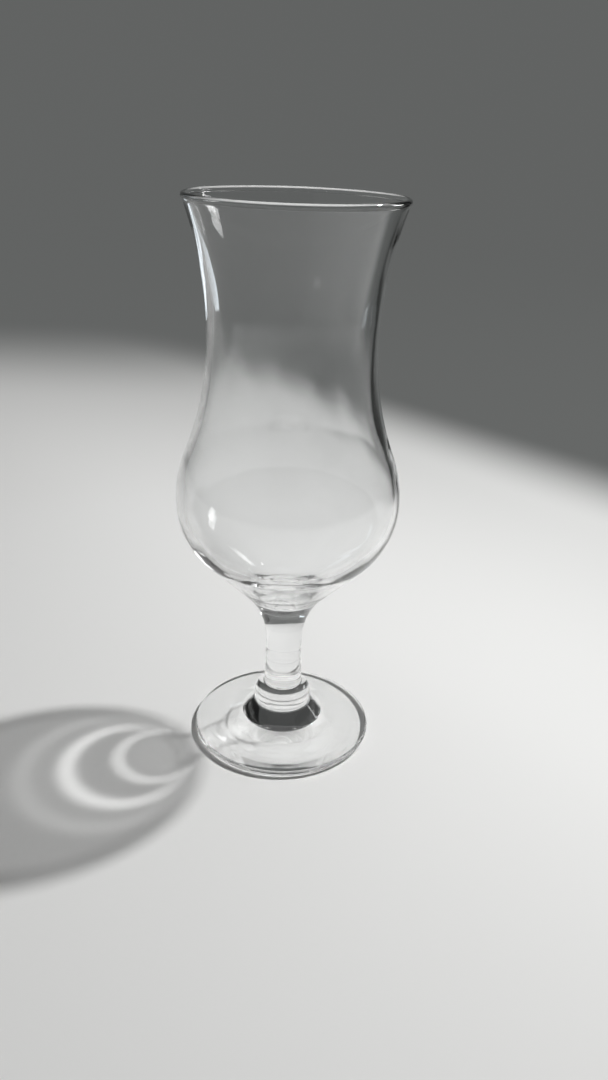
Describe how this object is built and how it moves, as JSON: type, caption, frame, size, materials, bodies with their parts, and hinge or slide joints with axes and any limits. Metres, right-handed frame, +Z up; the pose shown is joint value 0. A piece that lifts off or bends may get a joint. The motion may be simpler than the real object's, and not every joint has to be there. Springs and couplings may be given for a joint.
{
  "type": "hurricane glass",
  "caption": "Clear footed hurricane glass with a flared rim, narrow waist, round bulb, short solid stem and broad foot, for serving tall iced drinks.",
  "frame": {"origin": "middle of the ring under the foot, on the surface that the glass stands on", "axes": "+Z up the axis of the glass, from the foot to the rim; +X and +Y are free because the glass is round"},
  "size_m": [0.082, 0.082, 0.206],
  "materials": {
    "clear_glass": "clear, fire-polished"
  },
  "bodies": {
    "root": {"bowl": "clear_glass", "stem": "clear_glass", "foot": "clear_glass"}
  },
  "joints": []
}
